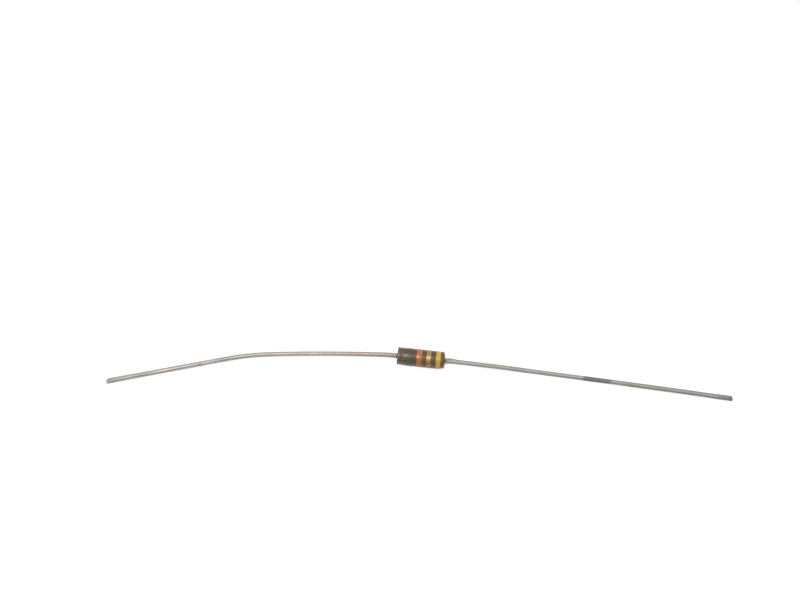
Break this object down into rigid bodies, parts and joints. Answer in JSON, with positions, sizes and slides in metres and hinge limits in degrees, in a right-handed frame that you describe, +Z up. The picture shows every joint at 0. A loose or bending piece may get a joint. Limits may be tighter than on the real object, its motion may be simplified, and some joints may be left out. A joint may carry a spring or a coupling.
{
  "type": "axial resistor",
  "caption": "Axial carbon composition resistor: a moulded brown cylinder ringed with painted colour bands, with a long tinned wire lead out of each end, lightly bent.",
  "frame": {"origin": "on the ground, straight under the middle of the body, which lies on its bands and on the tips of both leads", "axes": "+X along the body towards the end with the yellow band, +Z up, and both leads bow towards -Y"},
  "size_m": [0.0822, 0.009, 0.0024],
  "materials": {
    "moulding": "brown hot-moulded phenolic, satin, with faint flow streaks",
    "carbon": "pressed carbon and resin, dull black",
    "tinned_wire": "tinned copper wire, dulled, with darker oxidised patches",
    "paint_green": "thin grey-green band paint",
    "paint_orange": "orange band paint",
    "paint_gold": "pale metallic gold band paint",
    "paint_yellow": "yellow band paint"
  },
  "bodies": {
    "root": {"jacket": "moulding", "resistive_core": "carbon", "lead_left": "tinned_wire", "lead_right": "tinned_wire", "band_green": "paint_green", "band_orange": "paint_orange", "band_gold": "paint_gold", "band_yellow": "paint_yellow"}
  },
  "joints": []
}
